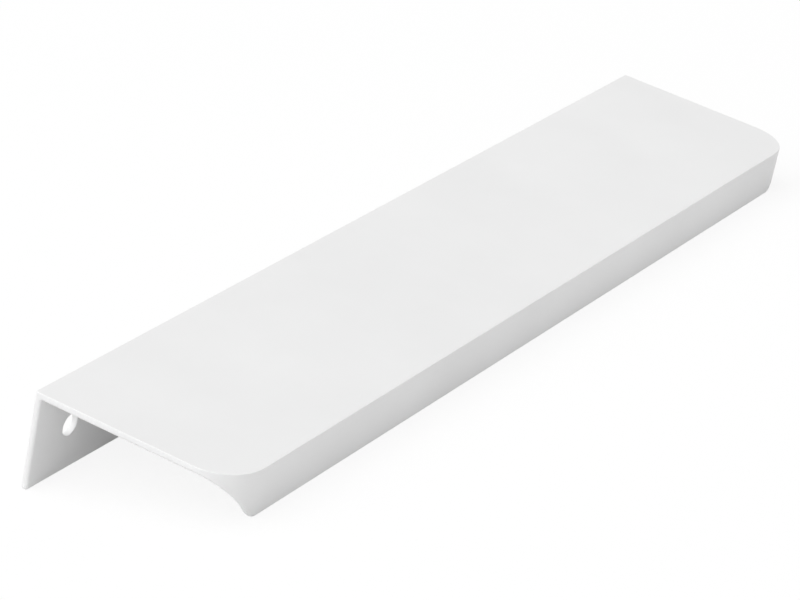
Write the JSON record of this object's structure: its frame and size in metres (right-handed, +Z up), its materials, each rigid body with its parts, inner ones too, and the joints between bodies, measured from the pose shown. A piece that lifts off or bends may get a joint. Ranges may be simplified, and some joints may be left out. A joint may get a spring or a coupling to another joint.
{
  "type": "furniture handle",
  "caption": "Edge pull for a drawer or cabinet door: a thin drawn plate with a screw leg behind and a hollowed, tapered finger lip in front, coated white.",
  "frame": {"origin": "middle of the handle's box at floor level, with the handle standing on its lip's tip and its leg's foot", "axes": "+X along the door's edge, +Y from the lip towards the leg and the back of the door, +Z up; the plate slopes 13.8 degrees down towards the lip"},
  "size_m": [0.2134, 0.0442, 0.0186],
  "materials": {
    "white_coat": "satin"
  },
  "bodies": {
    "root": {"handle_profile": "white_coat"}
  },
  "joints": []
}
